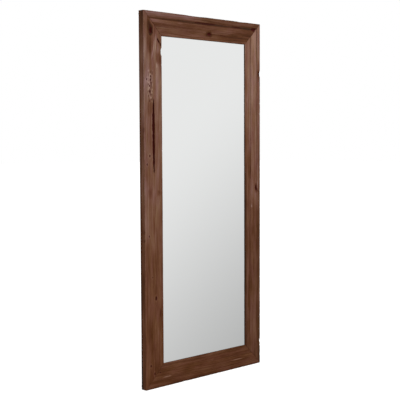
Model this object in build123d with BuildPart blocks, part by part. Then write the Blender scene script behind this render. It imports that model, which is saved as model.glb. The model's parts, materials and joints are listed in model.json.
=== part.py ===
"""Full-length framed mirror: mitred timber mouldings around a silvered pane, with its back and hangers.

Frame of reference, in millimetres: +X to the viewer's right, +Y to the back, +Z up.
The origin is at the bottom centre of the whole object, on the floor.

Every length of moulding has a plane of its own, in which
    local x = u, from the outer edge of the frame towards the opening,
    local y = d, from the front plane towards the back,
    local z = w, along the moulding.
"""

import os
from math import acos, atan2, cos, hypot, sin, sqrt

from build123d import *

os.makedirs("parts", exist_ok=True)

# ---- driving dimensions -------------------------------------------------------------------------

FRAME_WIDTH = 800.0
FRAME_HEIGHT = 1800.0
MOULDING_WIDTH = 114.0
MOULDING_DEPTH = 35.0

# front profile of the moulding, as u along the width and d below the front plane
ARRIS_RADIUS = 2.0
OUTER_BAND_END, OUTER_BAND_DROP = 23.0, 0.8
GROOVE_FLOOR_START, GROOVE_FLOOR_END, GROOVE_DROP = 24.8, 26.2, 3.6
CROWN_START, CROWN_MIDDLE, CROWN_END, CROWN_EDGE_DROP = 27.5, 49.0, 70.5, 2.2
QUIRK_FLOOR_START, QUIRK_FLOOR_END, QUIRK_DROP = 71.6, 72.8, 4.2
COVE_START, COVE_MIDDLE, COVE_END = 73.6, 90.0, 106.0
COVE_START_DROP, COVE_MIDDLE_DROP, COVE_END_DROP = 2.4, 3.9, 2.6
BEAD_MIDDLE, BEAD_MIDDLE_DROP, LIP_DROP = 110.0, 1.6, 2.8

# rebate for the pane, and what lies in it, counted from the front plane
REBATE_START = 100.0
PANE_FRONT = 6.5
PANE_THICKNESS = 4.0
FOAM_THICKNESS = 2.0
BOARD_THICKNESS = 5.0
PANE_GAP = 3.0
FOAM_GAP = 4.0
BOARD_GAP = 1.0
BATTEN = 12.0
BATTEN_ARRIS = 1.0
PANE_ARRIS = 0.6

# blocks around the pane's edge
SETTING_BLOCK_LENGTH = 60.0
EDGE_SPACER_LENGTH = 30.0

# biscuits across the mitres
BISCUIT_LENGTH, BISCUIT_WIDTH, BISCUIT_THICKNESS = 56.0, 23.0, 4.0
BISCUIT_PLACE = 50.0
BISCUIT_DEPTH = 18.0
BISCUIT_SLOT_GAP = 0.3

# steel corner plates on the back
PLATE_LEG, PLATE_LEG_WIDTH, PLATE_THICKNESS = 80.0, 18.0, 2.0
PLATE_INSET = 27.0
PLATE_HOLES = (24.0, 66.0)
PLATE_END_RADIUS = 4.0

# strap hangers and their D-rings
HANGER_HEIGHT = 1500.0
HANGER_U = 55.0
STRAP_WIDTH, STRAP_LENGTH, STRAP_THICKNESS = 16.0, 38.0, 1.2
STRAP_FOLD = 9.0
STRAP_HOLES = (13.5, 31.5)
RING_WIRE_RADIUS = 2.0
RING_PLAY = 0.08
RING_HALF_WIDTH = 13.0
RING_ARM = 8.0
RING_CORNER_RADIUS = 4.0

# rubber wall bumpers
BUMPER_RADIUS, BUMPER_HEIGHT, BUMPER_PLACE, BUMPER_ROUND = 10.0, 8.0, 15.0, 1.5

# screws: shank radius, head radius, length under the face of the head's rim
HOLE_GAP = 0.03
BATTEN_SCREW = {"shank": 1.5, "head": 3.0, "length": 25.0}
PLATE_SCREW = {"shank": 1.75, "head": 3.4, "length": 12.0}
STRAP_SCREW = {"shank": 2.0, "head": 3.8, "length": 20.0}
PAN_HEAD_HEIGHT, PAN_HEAD_ROUND = 2.2, 1.2
SCREW_POINT = 3.0
DRIVE_SLOT_REACH, DRIVE_SLOT_WIDTH, DRIVE_SLOT_DEPTH = 4.0, 0.8, 0.9
BATTEN_SCREW_FIRST = 90.0
STILE_BATTEN_SCREWS, RAIL_BATTEN_SCREWS = 7, 3

# ---- places worked out from them ----------------------------------------------------------------

front_y = -(MOULDING_DEPTH + BUMPER_HEIGHT) / 2
back_y = front_y + MOULDING_DEPTH
foam_front = PANE_FRONT + PANE_THICKNESS
board_front = foam_front + FOAM_THICKNESS
batten_front = board_front + BOARD_THICKNESS
knuckle_y = back_y + STRAP_THICKNESS + RING_WIRE_RADIUS + RING_PLAY

half_width = FRAME_WIDTH / 2
SIDES = {
    "left_stile": (
        Plane(origin=(-half_width, front_y, 0), x_dir=(1, 0, 0), z_dir=(0, 0, 1)),
        FRAME_HEIGHT,
    ),
    "top_rail": (
        Plane(origin=(-half_width, front_y, FRAME_HEIGHT), x_dir=(0, 0, -1), z_dir=(1, 0, 0)),
        FRAME_WIDTH,
    ),
    "right_stile": (
        Plane(origin=(half_width, front_y, FRAME_HEIGHT), x_dir=(-1, 0, 0), z_dir=(0, 0, -1)),
        FRAME_HEIGHT,
    ),
    "bottom_rail": (
        Plane(origin=(half_width, front_y, 0), x_dir=(0, 0, 1), z_dir=(-1, 0, 0)),
        FRAME_WIDTH,
    ),
}
# each side starts at the corner named here and ends where the next one starts
CORNERS = dict(zip(SIDES, ("bottom_left", "top_left", "top_right", "bottom_right")))
NEXT_SIDE = dict(zip(SIDES, ("top_rail", "right_stile", "bottom_rail", "left_stile")))


def corner_plane(side, depth):
    """Plane parallel to the mirror at the start corner of a side: x along that side, y across it."""
    plane, _ = SIDES[side]
    origin = plane.from_local_coords((0, depth, 0))
    return Plane(origin=origin, x_dir=plane.z_dir, z_dir=(0, 1, 0))


def save(piece, name):
    piece.part.label = name
    export_step(piece.part, f"parts/{name}.step")


# ---- screw seats: each is a plane on the surface, with its z axis out of the material -----------


def batten_seats(side):
    plane, length = SIDES[side]
    count = STILE_BATTEN_SCREWS if side.endswith("stile") else RAIL_BATTEN_SCREWS
    first = REBATE_START + BATTEN_SCREW_FIRST
    step = (length - 2 * first) / (count - 1)
    depth = batten_front + BATTEN / 2
    places = [(REBATE_START + BATTEN, depth, first + i * step) for i in range(count)]
    return [Plane(origin=plane.from_local_coords(p), z_dir=plane.x_dir) for p in places]


def plate_seats(side):
    """Screw seats on the outer face of the corner plate at the start of a side."""
    face = corner_plane(side, MOULDING_DEPTH + PLATE_THICKNESS)
    leg_middle = PLATE_INSET + PLATE_LEG_WIDTH / 2
    along = [(PLATE_INSET + hole, leg_middle) for hole in PLATE_HOLES]
    across = [(b, a) for a, b in along]
    return [Plane(origin=face.from_local_coords((a, b, 0)), z_dir=(0, 1, 0)) for a, b in along + across]


def strap_seats(side_sign):
    x = side_sign * (half_width - HANGER_U)
    y = back_y + 2 * STRAP_THICKNESS
    return [Plane(origin=(x, y, HANGER_HEIGHT + z), z_dir=(0, 1, 0)) for z in STRAP_HOLES]


# ---- mouldings ----------------------------------------------------------------------------------


def moulding_outline():
    """The moulding's section, in u and d, as one closed line."""
    band, crown = OUTER_BAND_DROP, CROWN_EDGE_DROP
    with BuildLine() as outline:
        Line((0, MOULDING_DEPTH), (0, band + ARRIS_RADIUS))
        RadiusArc((0, band + ARRIS_RADIUS), (ARRIS_RADIUS, band), ARRIS_RADIUS)
        Polyline(
            (ARRIS_RADIUS, band),
            (OUTER_BAND_END, band),
            (GROOVE_FLOOR_START, GROOVE_DROP),
            (GROOVE_FLOOR_END, GROOVE_DROP),
            (CROWN_START, crown),
        )
        ThreePointArc((CROWN_START, crown), (CROWN_MIDDLE, 0), (CROWN_END, crown))
        Polyline(
            (CROWN_END, crown),
            (QUIRK_FLOOR_START, QUIRK_DROP),
            (QUIRK_FLOOR_END, QUIRK_DROP),
            (COVE_START, COVE_START_DROP),
        )
        ThreePointArc(
            (COVE_START, COVE_START_DROP),
            (COVE_MIDDLE, COVE_MIDDLE_DROP),
            (COVE_END, COVE_END_DROP),
        )
        ThreePointArc(
            (COVE_END, COVE_END_DROP),
            (BEAD_MIDDLE, BEAD_MIDDLE_DROP),
            (MOULDING_WIDTH, LIP_DROP),
        )
        Polyline(
            (MOULDING_WIDTH, LIP_DROP),
            (MOULDING_WIDTH, PANE_FRONT),
            (REBATE_START, PANE_FRONT),
            (REBATE_START, MOULDING_DEPTH),
            (0, MOULDING_DEPTH),
        )
    return outline.line


def biscuit_outline(gap):
    """A pointed oval lying along the mitre line, grown by gap all round."""
    half_length = BISCUIT_LENGTH / 2 + gap
    half_breadth = BISCUIT_WIDTH / 2 + gap
    with BuildLine() as outline:
        ThreePointArc((-half_length, 0), (0, half_breadth), (half_length, 0))
        ThreePointArc((half_length, 0), (0, -half_breadth), (-half_length, 0))
    return outline.line


def biscuit_plane(side, thickness):
    """Plane of the biscuit at a side's start corner, turned so that its x axis lies in the mitre."""
    corner = corner_plane(side, BISCUIT_DEPTH - thickness / 2)
    origin = corner.from_local_coords((BISCUIT_PLACE, BISCUIT_PLACE, 0))
    return Plane(origin=origin, x_dir=corner.x_dir + corner.y_dir, z_dir=corner.z_dir)


def make_moulding(side):
    plane, length = SIDES[side]
    far_end = plane.from_local_coords((0, 0, length))
    slot_thickness = BISCUIT_THICKNESS + 2 * BISCUIT_SLOT_GAP
    with BuildPart() as moulding:
        with BuildSketch(plane):
            add(moulding_outline())
            make_face()
        extrude(amount=length)
        split(bisect_by=Plane(origin=plane.origin, z_dir=plane.z_dir - plane.x_dir), keep=Keep.TOP)
        split(bisect_by=Plane(origin=far_end, z_dir=-plane.z_dir - plane.x_dir), keep=Keep.TOP)
        for corner in (side, NEXT_SIDE[side]):
            with BuildSketch(biscuit_plane(corner, slot_thickness)):
                add(biscuit_outline(BISCUIT_SLOT_GAP))
                make_face()
            extrude(amount=slot_thickness, mode=Mode.SUBTRACT)
        drill(batten_seats(side), BATTEN_SCREW)
        for corner in (side, NEXT_SIDE[side]):
            drill(plate_seats(corner), PLATE_SCREW)
        if side.endswith("stile"):
            drill(strap_seats(-1 if side == "left_stile" else 1), STRAP_SCREW)
    return moulding


def drill(seats, screw):
    """Pilot holes for screws that start on the given seats."""
    with Locations(*seats):
        Hole(radius=screw["shank"] + HOLE_GAP, depth=screw["length"] + HOLE_GAP)


for side in SIDES:
    save(make_moulding(side), side)

for side, corner in CORNERS.items():
    with BuildPart() as biscuit:
        with BuildSketch(biscuit_plane(side, BISCUIT_THICKNESS)):
            add(biscuit_outline(0))
            make_face()
        extrude(amount=BISCUIT_THICKNESS)
    save(biscuit, f"mitre_biscuit_{corner}")

# ---- pane, foam sheet and backing board ---------------------------------------------------------

rebate_width = FRAME_WIDTH - 2 * REBATE_START
rebate_height = FRAME_HEIGHT - 2 * REBATE_START


def facing_plane(depth):
    """Upright plane through the middle of the opening, facing the back, at a depth below the front."""
    return Plane(origin=(0, front_y + depth, FRAME_HEIGHT / 2), x_dir=(1, 0, 0), z_dir=(0, 1, 0))


with BuildPart() as mirror_pane:
    with BuildSketch(facing_plane(PANE_FRONT)):
        Rectangle(rebate_width - 2 * PANE_GAP, rebate_height - 2 * PANE_GAP)
    extrude(amount=PANE_THICKNESS)
    broad_faces = mirror_pane.faces().filter_by(Axis.Y)
    chamfer(broad_faces.edges(), PANE_ARRIS)
save(mirror_pane, "mirror_pane")

with BuildPart() as cushion_sheet:
    with BuildSketch(facing_plane(foam_front)):
        Rectangle(rebate_width - 2 * FOAM_GAP, rebate_height - 2 * FOAM_GAP)
    extrude(amount=FOAM_THICKNESS)
save(cushion_sheet, "cushion_sheet")

with BuildPart() as backing_board:
    with BuildSketch(facing_plane(board_front)):
        Rectangle(rebate_width - 2 * BOARD_GAP, rebate_height - 2 * BOARD_GAP)
    extrude(amount=BOARD_THICKNESS)
save(backing_board, "backing_board")


def block_outline():
    """Section of a block between the pane's edge and the rebate, in u and d."""
    with BuildSketch() as section:
        with Locations((REBATE_START, PANE_FRONT)):
            Rectangle(PANE_GAP, PANE_THICKNESS, align=(Align.MIN, Align.MIN))
    return section.sketch


def make_blocks(places, length):
    """Rubber blocks between the pane's edge and the rebate; places are (side, distance along it)."""
    section = block_outline()
    with BuildPart() as blocks:
        for side, place in places:
            plane, _ = SIDES[side]
            with BuildSketch(plane.offset(place - length / 2)):
                add(section)
            extrude(amount=length)
    return blocks


quarters = (FRAME_WIDTH / 4, FRAME_WIDTH * 3 / 4)
save(make_blocks([("bottom_rail", place) for place in quarters], SETTING_BLOCK_LENGTH), "setting_blocks")
spacer_places = [("top_rail", place) for place in quarters]
for side in ("left_stile", "right_stile"):
    spacer_places += [(side, FRAME_HEIGHT * part) for part in (1 / 6, 1 / 2, 5 / 6)]
save(make_blocks(spacer_places, EDGE_SPACER_LENGTH), "edge_spacers")

# ---- retaining battens --------------------------------------------------------------------------

for side, (plane, length) in SIDES.items():
    end_gap = REBATE_START if side.endswith("stile") else REBATE_START + BATTEN
    with BuildPart() as batten:
        with BuildSketch(plane.offset(end_gap)):
            with Locations((REBATE_START, batten_front)):
                Rectangle(BATTEN, BATTEN, align=(Align.MIN, Align.MIN))
        extrude(amount=length - 2 * end_gap)
        long_edges = batten.edges().filter_by(Axis(plane.origin, plane.z_dir))
        exposed = long_edges.sort_by(Axis(plane.origin, plane.x_dir))[-2:]
        chamfer(exposed.sort_by(Axis.Y)[-1], BATTEN_ARRIS)
        with Locations(*batten_seats(side)):
            CounterSinkHole(
                radius=BATTEN_SCREW["shank"] + HOLE_GAP,
                counter_sink_radius=BATTEN_SCREW["head"] + HOLE_GAP,
                depth=BATTEN,
                counter_sink_angle=90,
            )
    save(batten, f"retaining_batten_{side.split('_')[0]}")

# ---- corner plates ------------------------------------------------------------------------------

for side, corner in CORNERS.items():
    with BuildPart() as plate:
        with BuildSketch(corner_plane(side, MOULDING_DEPTH)):
            with Locations((PLATE_INSET, PLATE_INSET)):
                Rectangle(PLATE_LEG, PLATE_LEG_WIDTH, align=(Align.MIN, Align.MIN))
                Rectangle(PLATE_LEG_WIDTH, PLATE_LEG, align=(Align.MIN, Align.MIN))
        extrude(amount=PLATE_THICKNESS)
        # the four corners at the free ends of the legs are the ones nearest the plate's far ends
        thickness_edges = plate.edges().filter_by(Axis.Y)
        middle = corner_plane(side, MOULDING_DEPTH).from_local_coords((PLATE_INSET, PLATE_INSET, 0))
        leg_ends = [edge for edge in thickness_edges if (edge.center() - middle).length > 0.9 * PLATE_LEG]
        fillet(leg_ends, PLATE_END_RADIUS)
        with Locations(*plate_seats(side)):
            CounterSinkHole(
                radius=PLATE_SCREW["shank"] + HOLE_GAP,
                counter_sink_radius=PLATE_SCREW["head"] + HOLE_GAP,
                depth=PLATE_THICKNESS,
                counter_sink_angle=90,
            )
    save(plate, f"corner_plate_{corner}")

# ---- screws -------------------------------------------------------------------------------------


def drive_cross(height):
    """The driver's cross, as a sketch at the given height."""
    with BuildSketch(Plane.XY.offset(height)) as cross:
        Rectangle(DRIVE_SLOT_REACH, DRIVE_SLOT_WIDTH)
        Rectangle(DRIVE_SLOT_WIDTH, DRIVE_SLOT_REACH)
    return cross.sketch


def countersunk_screw(shank, head, length):
    """A countersunk wood screw whose head's face lies in the XY plane, pointing down."""
    cross = drive_cross(0)
    with BuildPart() as screw:
        with BuildSketch(Plane.XZ):
            with BuildLine():
                Polyline(
                    (0, 0),
                    (head, 0),
                    (shank, shank - head),
                    (shank, SCREW_POINT - length),
                    (0, -length),
                    close=True,
                )
            make_face()
        revolve(axis=Axis.Z)
        extrude(cross, amount=-DRIVE_SLOT_DEPTH, mode=Mode.SUBTRACT)
    return screw.part


def pan_screw(shank, head, length):
    """A pan head wood screw whose head sits on the XY plane, pointing down."""
    cross = drive_cross(PAN_HEAD_HEIGHT)
    with BuildPart() as screw:
        with BuildSketch(Plane.XZ):
            with BuildLine():
                Polyline(
                    (0, -length),
                    (shank, SCREW_POINT - length),
                    (shank, 0),
                    (head, 0),
                    (head, PAN_HEAD_HEIGHT),
                    (0, PAN_HEAD_HEIGHT),
                    close=True,
                )
            make_face()
        revolve(axis=Axis.Z)
        fillet(screw.edges().group_by(Axis.Z)[-1], PAN_HEAD_ROUND)
        extrude(cross, amount=-DRIVE_SLOT_DEPTH, mode=Mode.SUBTRACT)
    return screw.part


def save_screws(screw, seats, name):
    with BuildPart() as group:
        with Locations(*seats):
            add(screw)
    save(group, name)


all_batten_seats = [seat for side in SIDES for seat in batten_seats(side)]
all_plate_seats = [seat for side in SIDES for seat in plate_seats(side)]
all_strap_seats = strap_seats(-1) + strap_seats(1)
save_screws(countersunk_screw(**BATTEN_SCREW), all_batten_seats, "batten_screws")
save_screws(countersunk_screw(**PLATE_SCREW), all_plate_seats, "corner_plate_screws")
save_screws(pan_screw(**STRAP_SCREW), all_strap_seats, "hanger_screws")

# ---- strap hangers and D-rings ------------------------------------------------------------------


def tangent_point(centre, radius, outside):
    """Where the line from an outside point touches a circle, on the circle's far side from the frame."""
    reach = hypot(outside[0] - centre[0], outside[1] - centre[1])
    angle = atan2(outside[1] - centre[1], outside[0] - centre[0]) - acos(radius / reach)
    return (centre[0] + radius * cos(angle), centre[1] + radius * sin(angle))


def make_strap(sign):
    """A strip folded double round the ring's bar: y is out from the frame's back, z is up."""
    inner = RING_WIRE_RADIUS + RING_PLAY
    outer = inner + STRAP_THICKNESS
    centre = (outer, 0)
    x = sign * (half_width - HANGER_U)
    section_plane = Plane(origin=(x, back_y, HANGER_HEIGHT), x_dir=(0, 1, 0), z_dir=(1, 0, 0))
    fold_outside = (2 * STRAP_THICKNESS, STRAP_FOLD)
    fold_inside = (STRAP_THICKNESS, STRAP_FOLD)
    with BuildPart() as strap:
        with BuildSketch(section_plane):
            with Locations(centre):
                Circle(outer)
            Rectangle(STRAP_THICKNESS, STRAP_LENGTH, align=(Align.MIN, Align.MIN))
            with BuildLine():
                Polyline(
                    fold_outside,
                    tangent_point(centre, outer, fold_outside),
                    tangent_point(centre, inner, fold_inside),
                    fold_inside,
                    close=True,
                )
            make_face()
            with Locations(fold_inside):
                Rectangle(STRAP_THICKNESS, STRAP_LENGTH - STRAP_FOLD, align=(Align.MIN, Align.MIN))
            with Locations(centre):
                Circle(inner, mode=Mode.SUBTRACT)
        extrude(amount=STRAP_WIDTH / 2, both=True)
        with Locations(*strap_seats(sign)):
            Hole(radius=STRAP_SCREW["shank"] + HOLE_GAP, depth=2 * STRAP_THICKNESS)
    return strap


def make_ring(sign):
    """A D-ring hanging straight down: a bar in the strap's fold, two arms and a round bow."""
    x = sign * (half_width - HANGER_U)
    ring_plane = Plane(origin=(x, knuckle_y, HANGER_HEIGHT), x_dir=(1, 0, 0), z_dir=(0, -1, 0))
    corner, side = RING_CORNER_RADIUS, RING_HALF_WIDTH
    turn = corner * (1 - sqrt(0.5))
    with BuildPart() as ring:
        with BuildLine(ring_plane) as centre_line:
            Line((corner - side, 0), (side - corner, 0))
            ThreePointArc((side - corner, 0), (side - turn, -turn), (side, -corner))
            Line((side, -corner), (side, -RING_ARM))
            ThreePointArc((side, -RING_ARM), (0, -RING_ARM - side), (-side, -RING_ARM))
            Line((-side, -RING_ARM), (-side, -corner))
            ThreePointArc((-side, -corner), (turn - side, -turn), (corner - side, 0))
        bar_start = ring_plane.from_local_coords((corner - side, 0, 0))
        with BuildSketch(Plane(origin=bar_start, z_dir=(1, 0, 0))):
            Circle(RING_WIRE_RADIUS)
        sweep(path=centre_line.wires()[0])
    return ring


for sign, side_name in ((-1, "left"), (1, "right")):
    save(make_strap(sign), f"hanger_strap_{side_name}")
    save(make_ring(sign), f"hanger_ring_{side_name}")

# ---- wall bumpers -------------------------------------------------------------------------------

for side, corner in CORNERS.items():
    with BuildPart() as bumper:
        with BuildSketch(corner_plane(side, MOULDING_DEPTH)):
            with Locations((BUMPER_PLACE, BUMPER_PLACE)):
                Circle(BUMPER_RADIUS)
        extrude(amount=BUMPER_HEIGHT)
        fillet(bumper.edges().group_by(Axis.Y)[-1], BUMPER_ROUND)
    save(bumper, f"wall_bumper_{corner}")
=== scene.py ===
"""Looks of the full-length framed mirror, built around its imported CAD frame.

Metres, +X to the viewer's right, +Y to the back, +Z up. The four timber mouldings are rebuilt as
detailed meshes with knots, cracks, chips and worn arrises. The rest of the CAD stays and gets
materials. Each moulding is worked out in its own terms:
    u  from the frame's outer edge towards the opening,
    d  from the front plane towards the back,
    w  along the moulding, from its start corner.
"""

import json
import math

import bmesh
import bpy
import numpy as np
from mathutils import Matrix, Vector


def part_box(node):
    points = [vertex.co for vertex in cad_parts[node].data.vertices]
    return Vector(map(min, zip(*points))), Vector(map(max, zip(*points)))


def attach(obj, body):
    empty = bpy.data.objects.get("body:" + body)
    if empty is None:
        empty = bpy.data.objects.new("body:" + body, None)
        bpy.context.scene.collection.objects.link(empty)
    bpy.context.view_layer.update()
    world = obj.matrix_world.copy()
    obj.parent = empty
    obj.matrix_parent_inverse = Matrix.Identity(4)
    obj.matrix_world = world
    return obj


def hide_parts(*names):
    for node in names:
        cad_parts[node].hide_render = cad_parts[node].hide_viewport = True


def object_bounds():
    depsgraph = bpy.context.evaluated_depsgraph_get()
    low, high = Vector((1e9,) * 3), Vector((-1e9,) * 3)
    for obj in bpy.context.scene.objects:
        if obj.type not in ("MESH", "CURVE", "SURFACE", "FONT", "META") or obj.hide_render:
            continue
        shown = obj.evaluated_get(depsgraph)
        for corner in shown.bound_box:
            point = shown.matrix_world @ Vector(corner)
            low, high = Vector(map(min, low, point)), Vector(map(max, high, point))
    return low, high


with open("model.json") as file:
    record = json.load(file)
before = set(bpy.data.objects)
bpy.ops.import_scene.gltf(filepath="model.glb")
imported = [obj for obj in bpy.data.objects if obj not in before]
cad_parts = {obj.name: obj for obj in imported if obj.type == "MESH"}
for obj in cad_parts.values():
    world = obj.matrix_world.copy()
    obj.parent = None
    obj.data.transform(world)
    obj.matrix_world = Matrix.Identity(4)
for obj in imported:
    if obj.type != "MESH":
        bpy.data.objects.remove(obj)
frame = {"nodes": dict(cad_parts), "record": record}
cad_low, cad_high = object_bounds()

MM = 0.001

# ---- sizes --------------------------------------------------------------------------------------

WIDTH = cad_high[0] - cad_low[0]
HEIGHT = cad_high[2] - cad_low[2]
stile_low, stile_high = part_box("left_stile")
MOULDING_WIDTH = stile_high[0] - stile_low[0]
MOULDING_DEPTH = 35 * MM
BACK = stile_high[1]
FRONT = BACK - MOULDING_DEPTH

# front profile, as in the CAD: u and drop below the front plane
ARRIS = 2.0 * MM
BAND_END, BAND_DROP = 23.0 * MM, 0.8 * MM
GROOVE = (24.8 * MM, 26.2 * MM, 3.6 * MM)
CROWN = (27.5 * MM, 49.0 * MM, 70.5 * MM, 2.2 * MM)
QUIRK = (71.6 * MM, 72.8 * MM, 4.2 * MM)
COVE = (73.6 * MM, 106.0 * MM, 2.4 * MM, 2.6 * MM, 1.4 * MM)
BEAD = (110.0 * MM, 1.6 * MM, 2.8 * MM)
GROOVE_LINES = ((25.5 * MM, 1.9 * MM), (72.2 * MM, 1.7 * MM))  # middle of each groove, and its spread
REBATE_START = 100.0 * MM
PANE_FRONT = 6.5 * MM

# ---- camera -------------------------------------------------------------------------------------

CAMERA_PLACE = (-3.159, -3.296, 1.183)
CAMERA_YAW, CAMERA_PITCH, CAMERA_ROLL = 43.59, 3.63, -0.25
LENS, SENSOR = 81.9, 36.0


def make_camera():
    data = bpy.data.cameras.new("camera")
    data.lens = LENS
    data.sensor_width = SENSOR
    camera = bpy.data.objects.new("camera", data)
    bpy.context.scene.collection.objects.link(camera)
    turn = Matrix.Rotation(math.radians(-CAMERA_YAW), 4, "Z")
    tip = Matrix.Rotation(math.radians(90 - CAMERA_PITCH), 4, "X")
    roll = Matrix.Rotation(math.radians(CAMERA_ROLL), 4, "Z")
    camera.matrix_world = Matrix.Translation(CAMERA_PLACE) @ turn @ tip @ roll
    bpy.context.scene.camera = camera


# ---- noise --------------------------------------------------------------------------------------


def smooth(t):
    t = np.clip(t, 0, 1)
    return t * t * (3 - 2 * t)


def noise(x, y, seed):
    """Smooth value noise from -1 to 1 on a unit lattice."""
    table = np.random.default_rng(seed).uniform(-1, 1, (256, 256))
    xi, yi = np.floor(x).astype(int), np.floor(y).astype(int)
    fx, fy = smooth(x - xi), smooth(y - yi)
    a = table[xi % 256, yi % 256]
    b = table[(xi + 1) % 256, yi % 256]
    c = table[xi % 256, (yi + 1) % 256]
    e = table[(xi + 1) % 256, (yi + 1) % 256]
    return (a * (1 - fx) + b * fx) * (1 - fy) + (c * (1 - fx) + e * fx) * fy


def rough(x, y, seed, octaves=3):
    """Several octaves of noise, from about -1 to 1."""
    total, size = 0, 1
    for octave in range(octaves):
        total = total + size * noise(x * 2**octave, y * 2**octave, seed + octave)
        size *= 0.5
    return total / 1.6


# ---- moulding profile ---------------------------------------------------------------------------


def front_drop(u):
    """Depth of the front face below the front plane at a distance u from the outer edge."""
    crown_half = (CROWN[2] - CROWN[0]) / 2
    crown = CROWN[3] * ((u - CROWN[1]) / crown_half) ** 2
    cove_t = (u - COVE[0]) / (COVE[1] - COVE[0])
    cove = COVE[2] + (COVE[3] - COVE[2]) * cove_t + COVE[4] * 4 * cove_t * (1 - cove_t)
    bead_t = (u - BEAD[0]) / (MOULDING_WIDTH - BEAD[0])
    bead = BEAD[1] + (BEAD[2] - BEAD[1]) * bead_t**2
    drop = np.where(u < CROWN[1], np.maximum(crown, 0), crown)
    drop = np.where(u < CROWN[0], np.interp(u, (BAND_END, GROOVE[0], GROOVE[1], CROWN[0]),
                                           (BAND_DROP, GROOVE[2], GROOVE[2], CROWN[3])), drop)
    drop = np.where(u > CROWN[2], np.interp(u, (CROWN[2], QUIRK[0], QUIRK[1], COVE[0]),
                                            (CROWN[3], QUIRK[2], QUIRK[2], COVE[2])), drop)
    drop = np.where(u > COVE[0], cove, drop)
    return np.where(u > COVE[1], bead, drop)


def spread(start, end, step):
    """Evenly spaced values from start up to, but not including, end."""
    count = max(1, round(abs(end - start) / step))
    return np.linspace(start, end, count, endpoint=False)


def profile():
    """The closed section as rows of u, d and the outward normal, with the front part first."""
    fine, coarse = 1.1 * MM, 3.0 * MM
    angles = np.linspace(0, math.pi / 2, 5, endpoint=False)
    arris_u = ARRIS * (1 - np.cos(angles))
    arris_d = BAND_DROP + ARRIS * (1 - np.sin(angles))
    front_u = np.concatenate([
        spread(ARRIS, BAND_END, fine),
        spread(BAND_END, CROWN[0], 0.6 * MM),
        spread(CROWN[0], CROWN[2], fine),
        spread(CROWN[2], COVE[0], 0.5 * MM),
        spread(COVE[0], COVE[1], fine),
        spread(COVE[1], MOULDING_WIDTH, 0.7 * MM),
    ])
    front_d = front_drop(front_u)
    lip_d = spread(BEAD[2], PANE_FRONT, 0.9 * MM)
    rebate_u = spread(MOULDING_WIDTH, REBATE_START, coarse)
    wall_d = spread(PANE_FRONT, MOULDING_DEPTH, coarse)
    back_u = spread(REBATE_START, 0, coarse)
    side_d = spread(MOULDING_DEPTH, BAND_DROP + ARRIS, 1.8 * MM)
    u = np.concatenate([
        arris_u, front_u, np.full(len(lip_d), MOULDING_WIDTH), rebate_u,
        np.full(len(wall_d), REBATE_START), back_u, np.zeros(len(side_d)),
    ])
    d = np.concatenate([
        arris_d, front_d, lip_d, np.full(len(rebate_u), PANE_FRONT), wall_d,
        np.full(len(back_u), MOULDING_DEPTH), side_d,
    ])
    tangent_u = np.roll(u, -1) - np.roll(u, 1)
    tangent_d = np.roll(d, -1) - np.roll(d, 1)
    length = np.hypot(tangent_u, tangent_d)
    return u, d, tangent_d / length, -tangent_u / length


# ---- faults in the timber -----------------------------------------------------------------------
# Everything in this section is in millimetres. Each fault gives a depth to carve, a darkness and a
# change of tone, over u and w. A few changes of tone are painted light: highlights at pits and
# pitted patches, and long bands of painted shade.


def knot(u, w, at, radii, depth, seed, tilt=0.0, black=0.95):
    """An oval knot: a ragged hollow, black or only tinted, in a browner halo."""
    across, along = turned(u, w, at, tilt)
    angle = np.arctan2(along, across)
    edge = 1 + 0.22 * noise(2 * np.cos(angle) + 5, 2 * np.sin(angle) + 5, seed)
    r = np.hypot(across / radii[0], along / radii[1]) / edge
    carve = depth * smooth(1.15 - r) * (1 + 0.35 * rough(u / 2, w / 4, seed + 9))
    return carve, black * smooth((1.12 - r) * 3), -0.09 * (0.3 + 0.7 * black) * smooth(2.1 - r)


def turned(u, w, at, tilt):
    """Distances across and along the grain from a point, with the grain leaning by tilt."""
    du, dw = u - at[0], w - at[1]
    return du * math.cos(tilt) - dw * math.sin(tilt), du * math.sin(tilt) + dw * math.cos(tilt)


def crack(u, w, points, width, depth, seed, black=1.0):
    """A drying crack along a line of (w, u) points, ragged and pointed at both ends."""
    ws = np.array([p[0] for p in points])
    us = np.array([p[1] for p in points])
    wander = 0.9 * rough(w / 14, 0 * w + seed, seed)
    middle = np.interp(w, ws, us) + wander
    t = (w - ws[0]) / (ws[-1] - ws[0])
    swell = np.clip(4 * t * (1 - t), 0, 1) ** 0.4
    swell = swell * (0.85 + 0.25 * rough(w / 16, 0 * w + seed + 3, seed + 3))
    half = np.maximum(width / 2 * swell, 1e-3)
    r = np.abs(u - middle) / half
    inside = (t > 0) & (t < 1)
    carve = np.where(inside, depth * smooth(1.4 - r) * smooth(3 * swell), 0)
    dark = np.where(inside, black * smooth((1.5 - r) * 1.8) * smooth(3 * swell), 0)
    return carve, dark, 0 * u


def pit(u, w, at, radius, depth, seed):
    """A small hole, longer along the grain than across it, with a painted highlight round its edge."""
    r = np.hypot((u - at[0]) / radius, (w - at[1]) / (1.5 * radius))
    r = r * (1 + 0.2 * noise(u / 2, w / 2, seed))
    # painted highlight round the hole's edge
    rim = np.exp(-(((r - 1.9) / 0.4) ** 2))
    return depth * smooth(1.3 - r), 0.9 * smooth((1.4 - r) * 2), 0.05 * rim


def pitted_patch(u, w, low, high, depth, seed):
    """A rough patch of many small hollows between two corners in (u, w), with painted highlights between
    them.
    """
    inside = smooth((u - low[0]) / 6) * smooth((high[0] - u) / 6)
    inside = inside * smooth((w - low[1]) / 15) * smooth((high[1] - w) / 15)
    cells = noise(u / 4.2, w / 8.0, seed) + 0.4 * noise(u / 9, w / 21, seed + 1)
    holes = smooth(3 * (cells - 0.30))
    # the third value paints highlights between the hollows
    return depth * inside * holes, 0.8 * inside * holes, 0.12 * inside * smooth(2.5 * (-cells - 0.15))


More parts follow.
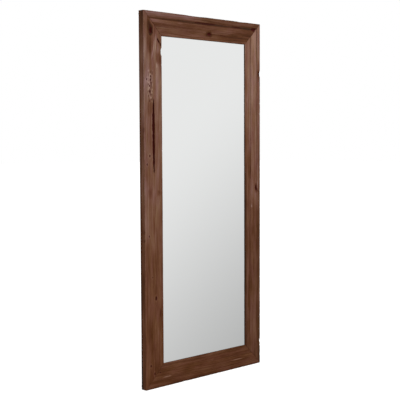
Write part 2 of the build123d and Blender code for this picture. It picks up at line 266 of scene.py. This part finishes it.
def chip(u, w, at_w, length, reach, depth, seed):
    """A splinter lost from the outer arris."""
    t = np.abs(w - at_w) / (length / 2)
    ragged = 1 + 0.3 * rough(w / 5, u / 5, seed)
    bite = smooth(1.25 - t) * ragged
    share = smooth(1.2 - u / np.maximum(reach * bite, 1e-3))
    return depth * share * bite, 0.25 * share * bite, 0 * u


def tone_oval(u, w, at, radii, amount, tilt=0.0):
    """A soft oval made darker, or paler where the amount is above 0: mostly the timber's own patches of
    colour, and a few long bands of painted shade.
    """
    across, along = turned(u, w, at, tilt)
    return 0 * u, 0 * u, amount * smooth(1.5 - np.hypot(across / radii[0], along / radii[1]))


# the faults of each length, at (u, height) on the stiles and at (u, distance from the left) on the
# rails
def left_faults(u, w):
    """w runs up from the floor."""
    return [
        knot(u, w, (43, 1708), (8.5, 17), 4.5, 11, 0.15, 1.0),
        tone_oval(u, w, (39, 1722), (13, 30), -0.09, -0.25),
        knot(u, w, (45, 1703), (7, 12), 6.0, 15, 0.1, 1.0),
        knot(u, w, (37, 1729), (5, 16), 0.8, 12, -0.2, 0.4),
        tone_oval(u, w, (38, 1645), (16, 44), -0.07),
        tone_oval(u, w, (8, 1625), (5, 78), 0.06, 0.03),
        tone_oval(u, w, (65, 1640), (4, 62), 0.09, 0.25),
        tone_oval(u, w, (77, 1646), (3.5, 38), 0.12, 0.14),
        tone_oval(u, w, (93, 1580), (14, 28), -0.09),
        tone_oval(u, w, (92, 1475), (15, 85), 0.05),
        tone_oval(u, w, (84, 1548), (4, 12), 0.08),
        crack(u, w, [(1638, 108), (1652, 101), (1674, 88)], 11, 4.5, 13),
        crack(u, w, [(1722, 92), (1728, 80), (1736, 65)], 5, 1.8, 14),
        pitted_patch(u, w, (22, 1366), (56, 1530), 1.6, 16),
        pit(u, w, (19, 1479), 3.4, 2.0, 19),
        pit(u, w, (42, 1478), 4.0, 2.4, 20),
        pit(u, w, (41, 1494), 3.2, 2.0, 21),
        pit(u, w, (37, 1422), 4.0, 2.4, 22),
        tone_oval(u, w, (36, 1345), (16, 34), -0.06),
        crack(u, w, [(1038, 60), (1160, 59), (1270, 58), (1388, 60)],
              16, 6.5, 17),
        tone_oval(u, w, (60, 1215), (9, 190), -0.05),
        pit(u, w, (34, 1119), 3.6, 1.2, 23),
        pit(u, w, (17, 1079), 3.0, 2.2, 24),
        knot(u, w, (35, 941), (8, 16), 0.5, 25, 0.0, 0.11),
        knot(u, w, (92, 942), (9, 9), 0.8, 26, 0.0, 0.14),
        tone_oval(u, w, (22, 800), (22, 95), 0.015),
        pit(u, w, (27, 738), 3.0, 0.8, 27),
        tone_oval(u, w, (86, 720), (16, 100), -0.035),
        tone_oval(u, w, (111, 640), (4, 420), -0.04),
        pit(u, w, (46, 540), 2.6, 1.6, 28),
        pit(u, w, (68, 437), 5.5, 3.2, 29),
        crack(u, w, [(340, 96), (385, 97)], 2.4, 1.0, 30),
        pit(u, w, (32, 113), 3.6, 2.4, 31),
        pit(u, w, (55, 73), 3.8, 2.6, 32),
        chip(u, w, 757, 26, 4, 2.2, 33),
        chip(u, w, 716, 18, 5, 2.6, 34),
        chip(u, w, 1240, 30, 3, 1.4, 35),
    ]


def top_faults(u, w):
    """w runs from the left end to the right."""
    return [
        # painted shade: a dark band under the outer band's step, along the whole rail
        tone_oval(u, w, (33, 400), (5.5, 600), -0.11),
        tone_oval(u, w, (32, 395), (5, 62), -0.10, -0.01),
        tone_oval(u, w, (60, 100), (8, 60), -0.04),
        knot(u, w, (81, 430), (9, 13), 3.4, 41, 0.0, 1.0),
        crack(u, w, [(440, 80), (520, 82), (600, 84)], 3.0, 1.2, 42, 0.6),
        crack(u, w, [(325, 30), (395, 32), (470, 31)], 9, 1.6, 43, 0.65),
        crack(u, w, [(590, 31), (655, 33)], 8, 1.6, 44, 0.65),
        crack(u, w, [(95, 36), (235, 34)], 3.0, 1.0, 45, 0.35),
        crack(u, w, [(730, 33), (750, 34), (772, 34)], 16, 4.0, 46),
        tone_oval(u, w, (33, 752), (7, 20), -0.10),
        tone_oval(u, w, (45, 235), (5, 16), 0.05),
        chip(u, w, 335, 120, 3.5, 1.6, 47),
        chip(u, w, 655, 60, 2.5, 1.2, 48),
        crack(u, w, [(100, 59), (330, 62)], 1.6, 0.8, 49, 0.4),
        tone_oval(u, w, (92, 640), (16, 130), -0.03),
        tone_oval(u, w, (62, 700), (7, 90), -0.04),
        tone_oval(u, w, (12, 370), (11, 70), -0.03),
        tone_oval(u, w, (1, 400), (2.5, 600), -0.08),
    ]


def right_faults(u, w):
    """w runs down from the top."""
    z = HEIGHT / MM - w
    return [
        tone_oval(u, z, (13, 1555), (9, 52), -0.09, -0.04),
        chip(u, z, 1541, 34, 10, 4.0, 51),
        knot(u, z, (11, 1540), (6, 12), 2.6, 52),
        crack(u, z, [(1478, 3), (1530, 9)], 5, 2.0, 53),
        crack(u, z, [(985, 73), (1030, 72), (1140, 76), (1200, 84)],
              2.6, 1.2, 54, 0.4),
        tone_oval(u, z, (74, 1060), (4, 90), -0.015),
        # painted shade: a dark band beside the lip down most of the stile
        tone_oval(u, z, (108, 650), (4.5, 780), -0.13),
        tone_oval(u, z, (93, 600), (4, 500), 0.03),
        tone_oval(u, z, (80, 380), (5, 260), -0.045),
        tone_oval(u, z, (63, 1080), (3.5, 115), 0.07),
        knot(u, z, (31, 943), (7, 16), 4.5, 55, 0.0, 1.0),
        tone_oval(u, z, (22, 955), (3.5, 26), 0.06),
        crack(u, z, [(915, 4), (922, 14), (934, 30)], 3.6, 1.6, 56),
        pit(u, z, (65, 853), 1.6, 0.6, 57),
        tone_oval(u, z, (65, 849), (4, 9), 0.12),
        tone_oval(u, z, (62, 800), (3.0, 70), 0.05),
        tone_oval(u, z, (28, 880), (20, 60), 0.03),
        tone_oval(u, z, (50, 760), (15, 80), -0.045),
        chip(u, z, 121, 26, 5, 3.0, 58),
        chip(u, z, 98, 14, 4, 2.2, 59),
        tone_oval(u, z, (6, 112), (7, 16), 0.05),
        tone_oval(u, z, (3, 34), (4, 42), -0.18),
    ]


def bottom_faults(u, w):
    """w runs from the right end to the left."""
    x = WIDTH / MM - w
    return [
        crack(u, x, [(104, 49), (165, 50)], 4.0, 1.2, 61, 0.2),
        tone_oval(u, x, (46, 135), (3, 26), 0.13),
        tone_oval(u, x, (48, 625), (3, 38), 0.13),
        crack(u, x, [(585, 52), (665, 54)], 2.6, 1.2, 62, 0.5),
        pit(u, x, (73, 92), 2.6, 1.8, 63),
        chip(u, x, 250, 40, 3, 1.6, 64),
        tone_oval(u, x, (30, 410), (12, 60), 0.03),
        tone_oval(u, x, (16, 620), (14, 60), -0.035),
        tone_oval(u, x, (58, 370), (22, 70), 0.03),
        tone_oval(u, x, (58, 660), (22, 70), -0.025),
        crack(u, x, [(300, 82), (560, 86)], 1.6, 0.8, 65, 0.5),
        tone_oval(u, x, (3, 400), (4, 420), -0.08),
    ]


# ---- mouldings ----------------------------------------------------------------------------------

half = WIDTH / 2
# start corner, direction of u, direction of w, length, and the timber's faults
LENGTHS = {
    "left_stile": (Vector((-half, FRONT, 0)), Vector((1, 0, 0)), Vector((0, 0, 1)),
                   HEIGHT, left_faults),
    "top_rail": (Vector((-half, FRONT, HEIGHT)), Vector((0, 0, -1)), Vector((1, 0, 0)),
                 WIDTH, top_faults),
    "right_stile": (Vector((half, FRONT, HEIGHT)), Vector((-1, 0, 0)), Vector((0, 0, -1)),
                    HEIGHT, right_faults),
    "bottom_rail": (Vector((half, FRONT, 0)), Vector((0, 0, 1)), Vector((-1, 0, 0)),
                    WIDTH, bottom_faults),
}
# how light the timber is, from 0 to 1, at a few shares of each length from its start corner: partly its
# own tone, partly painted light, with the stiles mostly lighter high up and darker near the floor
TONES = {
    "left_stile": ((0.0, 0.36), (0.35, 0.43), (0.88, 0.47), (1.0, 0.35)),
    "top_rail": ((0.0, 0.40), (1.0, 0.34)),
    "right_stile": ((0.0, 0.48), (0.25, 0.45), (0.65, 0.36), (1.0, 0.35)),
    "bottom_rail": ((0.0, 0.35), (1.0, 0.36)),
}
# how the outer band, the crown, the inner band and the outer side differ from that; the outer side's
# lower value is painted shade
BAND_TONES = {
    "left_stile": (0.0, -0.01, 0.0, -0.05),
    "top_rail": (0.01, -0.01, 0.0, -0.04),
    "right_stile": (-0.02, 0.02, 0.0, -0.06),
    "bottom_rail": (0.01, 0.0, 0.0, -0.06),
}
# how far the colour leans from warm brown to mauve, at the start corner and at the far end
MAUVE = {
    "left_stile": (0.0, 0.7), "top_rail": (0.9, 0.9),
    "right_stile": (0.3, 1.0), "bottom_rail": (0.4, 0.2),
}
# how much of the two grooves shows, in their shape and in their dirt and painted shade: at a length's
# start corner, in its middle and at its far end
GROOVES = {
    "left_stile": (0.10, 0.10, 0.25), "top_rail": (0.3, 0.25, 0.4),
    "right_stile": (1.0, 0.4, 0.12), "bottom_rail": (0.5, 0.3, 0.15),
}
# how dark the mitre line is at the ends of a length
MITRE_LINE = {"left_stile": 0.15, "top_rail": 0.55, "right_stile": 0.35, "bottom_rail": 0.3}
# pieces broken right out of the inner lip: middle along the length, half length and reach
BITES = {"left_stile": (1611 * MM, 19 * MM, 8.0 * MM)}
# distance between two sections of a moulding's mesh
RING_STEP = 3.45 * MM
# how far inside the CAD's surface the timber's lies on average, and how deep its grain, its slow
# unevenness, its worn arrises, its nicks and its eased mitres go
SKIN = 0.25 * MM
GRAIN_DEPTH, UNEVEN_DEPTH = 0.16 * MM, 0.30 * MM
WEAR_DEPTH, NICK_DEPTH, MITRE_DEPTH = 0.35 * MM, 1.0 * MM, 0.5 * MM
# the most that is carved at any point level with the pane or behind it
DEEP_LIMIT = 0.9 * MM
# how much painted shade darkens the lip's narrow wall against the face, and the tone of what doesn't show
LIP_SHADE, HIDDEN_TONE = 0.18, 0.42


def plain_drop(u):
    """The front face's drop with both grooves bridged over."""
    drop = front_drop(u)
    drop = np.where((u > BAND_END - 3 * MM) & (u < CROWN[0] + 5 * MM),
                    np.interp(u, (BAND_END - 3 * MM, CROWN[0] + 5 * MM),
                              (BAND_DROP, front_drop(CROWN[0] + 5 * MM))), drop)
    low, high = CROWN[2] - 5 * MM, COVE[0] + 4 * MM
    return np.where((u > low) & (u < high),
                    np.interp(u, (low, high), (front_drop(low), front_drop(high))), drop)


def make_moulding(node, seed):
    """A mitred length of moulding as one closed mesh, carved and worn."""
    corner, u_axis, w_axis, length, faults = LENGTHS[node]
    pu, pd, nu, nd = profile()
    rings = int(length / RING_STEP)
    share = np.linspace(0, 1, rings)[:, None]
    u, d = np.broadcast_to(pu, (rings, len(pu))), np.broadcast_to(pd, (rings, len(pd)))
    w = u + share * (length - 2 * u)

    on_front = nd < -0.3
    on_side = (pu < ARRIS) & ~on_front & (pd < MOULDING_DEPTH - MM)
    on_lip = (pu > MOULDING_WIDTH - 0.1 * MM) & ~on_front
    shown = (on_front | on_side | on_lip)[None, :]
    carve, dark, shade = np.zeros_like(w), np.zeros_like(w), np.zeros_like(w)
    for depth, darkness, change in faults(u / MM, w / MM):
        carve = np.maximum(carve, depth * MM)
        dark = np.maximum(dark, darkness)
        shade = shade + change
    carve, dark = carve * shown, dark * shown

    # weathered grain ridges, slow unevenness and the worn arrises
    around = np.cumsum(np.hypot(np.diff(pu, append=pu[0]), np.diff(pd, append=pd[0])))[None, :]
    flow = around + 3 * MM * rough(w / (0.22), around / (0.05), seed)
    ridges = GRAIN_DEPTH * rough(flow / (1.9 * MM), w / (60 * MM), seed + 20)
    swell = UNEVEN_DEPTH * rough(flow / (24 * MM), w / (0.16), seed + 30)
    arris = np.exp(-((pu - ARRIS / 2) / (2.2 * MM)) ** 2) * (pd < 6 * MM)
    arris = arris + 0.6 * np.exp(-((pu - MOULDING_WIDTH) / (1.6 * MM)) ** 2) * (pd < 4.5 * MM)
    wear = arris[None, :] * (0.55 + 0.45 * rough(w / (35 * MM), 0 * w + seed, seed + 40))
    nicks = arris[None, :] * smooth(4 * (rough(w / (9 * MM), 0 * w + 2, seed + 50) - 0.45))
    sides = np.where(shown, 1.0, 0.35)
    worn = SKIN + sides * (ridges + swell) + WEAR_DEPTH * wear * (wear > 0) + NICK_DEPTH * nicks
    # the mitres are eased a little, so that their joints show
    mitre = np.exp(-np.abs(np.minimum(w - u, length - u - w)) / (0.8 * MM)) * shown
    worn = worn + MITRE_DEPTH * mitre
    push = np.maximum(worn + carve, 0)
    push = np.where(pd[None, :] >= PANE_FRONT, np.minimum(push, DEEP_LIMIT), push)

    # where the grooves are filled and rubbed flat, their floor comes up towards the face
    strength = np.interp(w / length, (0.0, 0.5, 1.0), GROOVES[node])
    strength = np.clip(strength + 0.15 * rough(w / (90 * MM), 0 * w + 7, seed + 60), 0, 1)
    fill = np.where(on_front[None, :], (front_drop(u) - plain_drop(u)) * (1 - strength), 0)
    ud = u - nu[None, :] * push
    dd = d - nd[None, :] * push - np.maximum(fill, 0)
    if node in BITES:
        middle, half_length, reach = BITES[node]
        t = (w - middle) / half_length
        ragged = 1 + 0.25 * rough(w / (4 * MM), 0 * w, seed + 70)
        bite = reach * np.sqrt(np.clip(1 - t * t, 0, 1)) * ragged
        near = (u > REBATE_START) & (d < PANE_FRONT + MM)
        ud = np.where(near, np.minimum(ud, MOULDING_WIDTH - bite), ud)
    wd = ud + share * (length - 2 * ud)
    spots = np.stack([ud, dd, wd], -1).reshape(-1, 3)
    axes = np.array([u_axis, (0, 1, 0), w_axis])
    co = np.array(corner) + spots @ axes

    mesh = bpy.data.meshes.new(node + "_timber")
    n = len(pu)
    index = np.arange(rings * n).reshape(rings, n)
    a, b = index[:-1], index[1:]
    quads = np.stack([a, b, np.roll(b, -1, 1), np.roll(a, -1, 1)], -1).reshape(-1, 4)
    faces = quads.tolist() + [index[0].tolist(), index[-1][::-1].tolist()]
    mesh.from_pydata(co.tolist(), [], faces)
    mesh.validate()
    piece = bpy.data.objects.new(node + "_timber", mesh)
    bpy.context.scene.collection.objects.link(piece)
    outwards(mesh)
    mesh.polygons.foreach_set("use_smooth", [True] * len(mesh.polygons))

    # what the timber's material reads: grain coordinates that flow round the knots, and the masks
    bend = 6 * MM * np.clip(dark, 0, 1) * np.sign(np.sin(u * 900))
    # the groove mask: dirt and painted shade in the grooves, and painted shade on the lip's wall
    groove = sum(np.exp(-(((u - middle) / spread_out) ** 2)) for middle, spread_out in GROOVE_LINES)
    groove = groove * on_front[None, :] * strength**1.5 + 0.6 * on_lip[None, :]
    tone = tone_at(node, u, d, w / length, on_side[None, :], on_lip[None, :], shown)
    mauve = np.interp(w / length, (0.0, 1.0), MAUVE[node])
    mauve = mauve * np.where(u < BAND_END, 1.5, 1.0) * np.where(shown, 1.0, 0.3)
    store(mesh, "grain", np.stack([w + seed, around + bend + 0 * w, d + 0 * w], -1).reshape(-1, 3))
    store(mesh, "tone", (tone + np.clip(shade, -0.2, 0.15) * shown).ravel())
    dark = np.maximum(dark, MITRE_LINE[node] * mitre)
    store(mesh, "dark", np.clip(dark, 0, 1).ravel())
    store(mesh, "mauve", np.clip(mauve, 0, 1.6).ravel())
    store(mesh, "groove", np.clip(groove, 0, 1).ravel())
    store(mesh, "wear", np.clip(wear + nicks, 0, 1).ravel())
    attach(piece, "frame")
    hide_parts(node)
    return piece


def tone_at(node, u, d, share, on_side, on_lip, shown):
    """How light the timber is painted along a length and across its bands, painted light and shade
    included.
    """
    outer, crown, inner, side = BAND_TONES[node]
    along = np.interp(share, *zip(*TONES[node]))
    front = along + outer + (crown - outer) * smooth((u - 20 * MM) / (12 * MM))
    front = front + (inner - crown) * smooth((u - 66 * MM) / (12 * MM))
    # painted shade: the outer side darker than the face, and darker still towards its back edge, most
    # near the length's start corner
    side = along + side - (0.03 + 0.12 * (1 - share) ** 2) * smooth((d - 20 * MM) / (6 * MM))
    # painted shade on the lip's narrow wall
    front = np.where(on_lip, front - LIP_SHADE, front)
    return np.where(on_side, side, np.where(shown, front, HIDDEN_TONE))


def outwards(mesh):
    """Turns the faces so that they point out of the closed mesh."""
    work = bmesh.new()
    work.from_mesh(mesh)
    bmesh.ops.recalc_face_normals(work, faces=work.faces)
    work.to_mesh(mesh)
    work.free()


def store(mesh, name, values):
    vector = np.ndim(values) == 2
    layer = mesh.attributes.new(name, "FLOAT_VECTOR" if vector else "FLOAT", "POINT")
    layer.data.foreach_set("vector" if vector else "value", np.asarray(values, np.float32).ravel())


# ---- materials ----------------------------------------------------------------------------------


class Nodes:
    """A short way to write a node tree: each call makes a node and returns its first output."""

    def __init__(self, name=None, tree=None):
        if tree is None:
            self.material = bpy.data.materials.new(name)
            self.material.use_nodes = True
            tree = self.material.node_tree
            self.shader = tree.nodes["Principled BSDF"]
        self.tree = tree

    def plug(self, socket, value):
        if isinstance(value, bpy.types.NodeSocket):
            self.tree.links.new(value, socket)
        else:
            socket.default_value = value

    def node(self, kind, output=0, **inputs):
        node = self.tree.nodes.new(kind)
        for key, value in inputs.items():
            if key.startswith("set_"):
                setattr(node, key[4:], value)
            else:
                self.plug(node.inputs[int(key[1:])] if key[1:].isdigit() else node.inputs[key], value)
        return node.outputs[output]

    def attribute(self, name, output="Fac"):
        node = self.tree.nodes.new("ShaderNodeAttribute")
        node.attribute_name = name
        return node.outputs[output]

    def position(self):
        return self.node("ShaderNodeTexCoord", 3)

    def stretched(self, vector, scale):
        return self.node("ShaderNodeMapping", i0=vector, i3=scale)

    def noise(self, vector, scale, detail=4.0, roughness=0.55):
        return self.node("ShaderNodeTexNoise", Vector=vector, Scale=scale, Detail=detail,
                         Roughness=roughness)

    def math(self, operation, a, b=0.0):
        return self.node("ShaderNodeMath", set_operation=operation, i0=a, i1=b)

    def ramp(self, value, *stops):
        node = self.tree.nodes.new("ShaderNodeValToRGB")
        self.plug(node.inputs[0], value)
        elements = node.color_ramp.elements
        while len(elements) < len(stops):
            elements.new(0.5)
        for element, (place, colour) in zip(elements, stops):
            element.position = place
            element.color = (*colour, 1) if isinstance(colour, tuple) else (colour, colour, colour, 1)
        return node.outputs[0]

    def mix(self, share, a, b, blend="MIX"):
        node = self.tree.nodes.new("ShaderNodeMix")
        node.data_type = "RGBA"
        node.blend_type = blend
        self.plug(node.inputs[0], share)
        self.plug(node.inputs[6], a if not isinstance(a, tuple) else (*a, 1))
        self.plug(node.inputs[7], b if not isinstance(b, tuple) else (*b, 1))
        return node.outputs[2]

    def bump(self, height, distance, strength):
        node = self.tree.nodes.new("ShaderNodeBump")
        node.inputs["Strength"].default_value = strength
        node.inputs["Distance"].default_value = distance
        self.plug(node.inputs["Height"], height)
        return node.outputs[0]

    def finish(self, **inputs):
        for key, value in inputs.items():
            value = (*value, 1) if isinstance(value, tuple) else value
            self.plug(self.shader.inputs[key.replace("_", " ")], value)
        return self.material


def timber():
    """Oiled reclaimed hardwood: streaks along the grain, darker faults, dirt and painted shade in the
    grooves and on the lip, worn arrises.
    """
    n = Nodes("timber")
    grain = n.attribute("grain", "Vector")
    slow = n.noise(n.stretched(grain, (2.2, 14, 14)), 1.0, 2)
    warped = n.node("ShaderNodeVectorMath", set_operation="ADD", i0=grain,
                    i1=n.node("ShaderNodeCombineXYZ", Y=n.math("MULTIPLY", slow, 0.03)))
    streaks = n.noise(n.stretched(warped, (3.0, 150, 60)), 1.0, 5, 0.62)
    fibres = n.noise(n.stretched(warped, (30, 1300, 500)), 1.0, 3, 0.6)
    patches = n.noise(n.stretched(grain, (6, 22, 20)), 1.0, 3)
    vary = n.math("ADD", n.math("MULTIPLY", streaks, 0.30), n.math("MULTIPLY", patches, 0.24))
    vary = n.math("ADD", vary, n.math("MULTIPLY", fibres, 0.16))
    tone = n.math("ADD", n.attribute("tone"), n.math("SUBTRACT", vary, 0.35))
    tone = n.math("ADD", tone, n.math("MULTIPLY", n.attribute("wear"), 0.06))
    colour = n.ramp(tone, (0.10, (0.006, 0.002, 0.001)), (0.25, (0.036, 0.011, 0.003)),
                    (0.33, (0.070, 0.020, 0.005)), (0.42, (0.125, 0.047, 0.023)),
                    (0.50, (0.18, 0.088, 0.056)), (0.60, (0.275, 0.16, 0.105)),
                    (0.72, (0.39, 0.25, 0.175)))
    hue = n.noise(n.stretched(grain, (9, 40, 30)), 1.0, 2)
    lean = n.ramp(hue, (0.35, (1.0, 1.04, 0.84)), (0.65, (1.0, 0.97, 1.03)))
    colour = n.mix(1.0, colour, lean, "MULTIPLY")
    mauve = n.mix(1.0, colour, (1.0, 1.24, 1.95), "MULTIPLY")
    colour = n.mix(n.math("MULTIPLY", n.attribute("mauve"), 0.6), colour, mauve)
    # dirt and painted shade in the grooves and on the lip's wall, patchy
    groove_dirt_and_shade = n.math("MULTIPLY", n.attribute("groove"), n.ramp(patches, (0.3, 0.35), (0.65, 0.85)))
    colour = n.mix(groove_dirt_and_shade, colour, (0.022, 0.0050, 0.0012))
    colour = n.mix(n.attribute("dark"), colour, (0.036, 0.0022, 0.0004))
    height = n.math("ADD", n.math("MULTIPLY", streaks, 1.0), n.math("MULTIPLY", fibres, 0.5))
    rough_at = n.ramp(tone, (0.3, 0.68), (0.6, 0.5))
    return n.finish(Base_Color=colour, Roughness=rough_at, Specular_IOR_Level=0.06,
                    Normal=n.bump(height, 0.0008, 0.5))


def plain_wood(name, axis, pale, dark, rough_at=0.6):
    """Planed softwood with fine grain along one axis of the part."""
    n = Nodes(name)
    scale = [90.0, 90.0, 90.0]
    scale["XYZ".index(axis)] = 2.5
    grain = n.noise(n.stretched(n.position(), tuple(scale)), 1.0, 5, 0.6)
    fine = n.noise(n.stretched(n.position(), tuple(9 * s for s in scale)), 1.0, 2)
    colour = n.ramp(grain, (0.35, dark), (0.65, pale))
    colour = n.mix(0.35, colour, n.ramp(fine, (0.35, 0.6), (0.6, 1.0)), "MULTIPLY")
    return n.finish(Base_Color=colour, Roughness=rough_at, Normal=n.bump(grain, 0.0008, 0.4))


def hardboard():
    """Pressed fibreboard: short dark fibres on a smooth brown sheet."""
    n = Nodes("hardboard")
    fibres = n.noise(n.stretched(n.position(), (260, 260, 90)), 1.0, 6, 0.7)
    clouds = n.noise(n.position(), 7.0, 3)
    colour = n.ramp(fibres, (0.32, (0.13, 0.065, 0.032)), (0.5, (0.25, 0.135, 0.07)),
                    (0.7, (0.36, 0.21, 0.12)))
    colour = n.mix(0.5, colour, n.ramp(clouds, (0.3, 0.72), (0.7, 1.0)), "MULTIPLY")
    return n.finish(Base_Color=colour, Roughness=0.55, Normal=n.bump(fibres, 0.0006, 0.5))


def mirror_glass():
    """Silvered float glass, seen as a near-perfect reflector."""
    n = Nodes("silvered_glass")
    return n.finish(Base_Color=(0.93, 0.94, 0.935), Metallic=1.0, Roughness=0.0)


def zinc_steel(name, dark, pale):
    """Zinc-plated steel: blotched and finely scratched."""
    n = Nodes(name)
    blotch = n.noise(n.position(), 240.0, 4)
    scratch = n.noise(n.stretched(n.position(), (900, 900, 60)), 1.0, 3)
    colour = n.ramp(blotch, (0.35, dark), (0.65, pale))
    rough_at = n.ramp(n.math("ADD", blotch, n.math("MULTIPLY", scratch, 0.4)), (0.5, 0.28), (0.9, 0.46))
    return n.finish(Base_Color=colour, Metallic=1.0, Roughness=rough_at,
                    Normal=n.bump(scratch, 0.0001, 0.4))


def rubber():
    """Matt black rubber with a faint dusty bloom."""
    n = Nodes("rubber")
    bloom = n.noise(n.position(), 420.0, 4)
    colour = n.ramp(bloom, (0.4, (0.017, 0.017, 0.018)), (0.7, (0.05, 0.049, 0.047)))
    return n.finish(Base_Color=colour, Roughness=0.82, Normal=n.bump(bloom, 0.0002, 0.5))


def foam():
    """White closed-cell foam sheet."""
    n = Nodes("foam")
    cells = n.node("ShaderNodeTexVoronoi", Vector=n.position(), Scale=900.0)
    colour = n.ramp(cells, (0.0, (0.62, 0.62, 0.6)), (0.6, (0.84, 0.84, 0.82)))
    return n.finish(Base_Color=colour, Roughness=0.9, Normal=n.bump(cells, 0.0003, 0.5))


def dress_cad():
    """Gives every CAD node that stays its material."""
    by_slot = {
        "silvered_glass": mirror_glass(),
        "zinc_steel": zinc_steel("zinc_steel", (0.27, 0.27, 0.27), (0.45, 0.45, 0.44)),
        "rubber": rubber(),
        "foam": foam(),
        "hardboard": hardboard(),
        "beech": plain_wood("beech", "X", (0.62, 0.45, 0.29), (0.45, 0.30, 0.18)),
    }
    screws = zinc_steel("yellow_zinc_steel", (0.40, 0.29, 0.11), (0.58, 0.45, 0.22))
    pine_up = plain_wood("pine_upright", "Z", (0.52, 0.34, 0.17), (0.36, 0.21, 0.09))
    pine_across = plain_wood("pine_across", "X", (0.52, 0.34, 0.17), (0.36, 0.21, 0.09))
    for part in frame["record"]["subparts"]:
        node, slot = part["node"], part["material_slot"]
        material = by_slot.get(slot)
        if slot == "pine":
            material = pine_up if node.endswith(("left", "right")) else pine_across
        if node.endswith("screws"):
            material = screws
        if material is not None:
            mesh = frame["nodes"][node].data
            mesh.materials.clear()
            mesh.materials.append(material)


# ---- stage --------------------------------------------------------------------------------------


def make_stage():
    """A plain pale floor, hidden from reflections and diffuse light: the mirror shows only the studio."""
    reach = 40.0
    corners = [(-reach, -reach, 0), (reach, -reach, 0), (reach, reach, 0), (-reach, reach, 0)]
    mesh = bpy.data.meshes.new("floor")
    mesh.from_pydata(corners, [], [(0, 1, 2, 3)])
    floor = bpy.data.objects.new("floor", mesh)
    bpy.context.scene.collection.objects.link(floor)
    floor.visible_glossy = False
    floor.visible_diffuse = False
    n = Nodes("floor")
    mesh.materials.append(n.finish(Base_Color=(0.5, 0.5, 0.5), Roughness=0.9, Specular_IOR_Level=0.0,
                                   Emission_Color=(1.0, 1.0, 1.0), Emission_Strength=0.72))


# the studio in front of the mirror: pale grey overhead, deeper grey at the ground; the place on its
# left to right axis where it is neither lightened nor deepened, how fast it changes there and the
# most that it changes
STUDIO_PALE, STUDIO_DEEP = 0.86, 0.38
STUDIO_RIGHT, STUDIO_SLOPE, STUDIO_SHIFT = 0.67, 1.25, 0.1


def make_world():
    """White behind the mirror; in front, pale grey that deepens towards the ground and the right."""
    world = bpy.data.worlds.new("world")
    world.use_nodes = True
    bpy.context.scene.world = world
    n = Nodes(tree=world.node_tree)
    split = n.tree.nodes.new("ShaderNodeSeparateXYZ")
    n.plug(split.inputs[0], n.node("ShaderNodeTexCoord", 0))
    right, back, up = split.outputs
    aside = n.math("MULTIPLY", n.math("SUBTRACT", right, STUDIO_RIGHT), STUDIO_SLOPE)
    aside = n.math("MINIMUM", n.math("MAXIMUM", aside, -STUDIO_SHIFT), STUDIO_SHIFT)
    down = n.math("SUBTRACT", aside, up)
    # the ramp covers what is between 0.1 above level and 0.4 below it
    place = n.math("MULTIPLY", n.math("ADD", down, 0.1), 2.0)
    ahead = n.ramp(place, (0.16, STUDIO_PALE), (1.0, STUDIO_DEEP))
    ahead.node.color_ramp.interpolation = "EASE"
    behind = n.ramp(n.math("ADD", back, 0.5), (0.15, 0.0), (0.5, 1.0))
    tone = n.mix(behind, ahead, (1.0, 1.0, 1.0))
    n.plug(n.tree.nodes["Background"].inputs["Color"], tone)


def make_light(name, place, target, size, power):
    data = bpy.data.lights.new(name, "AREA")
    data.shape = "DISK"
    data.size = size
    data.energy = power
    light = bpy.data.objects.new(name, data)
    bpy.context.scene.collection.objects.link(light)
    light.location = place
    light.rotation_euler = (Vector(target) - Vector(place)).to_track_quat("-Z", "Y").to_euler()


make_camera()
make_world()
make_light("key", place=(1.1, -3.6, 4.0), target=(0, 0, 1.3), size=2.4, power=150)
make_stage()
dress_cad()

reclaimed = timber()
for number, node in enumerate(LENGTHS):
    make_moulding(node, 3 + 7 * number).data.materials.append(reclaimed)

bpy.context.scene.view_settings.view_transform = "Standard"
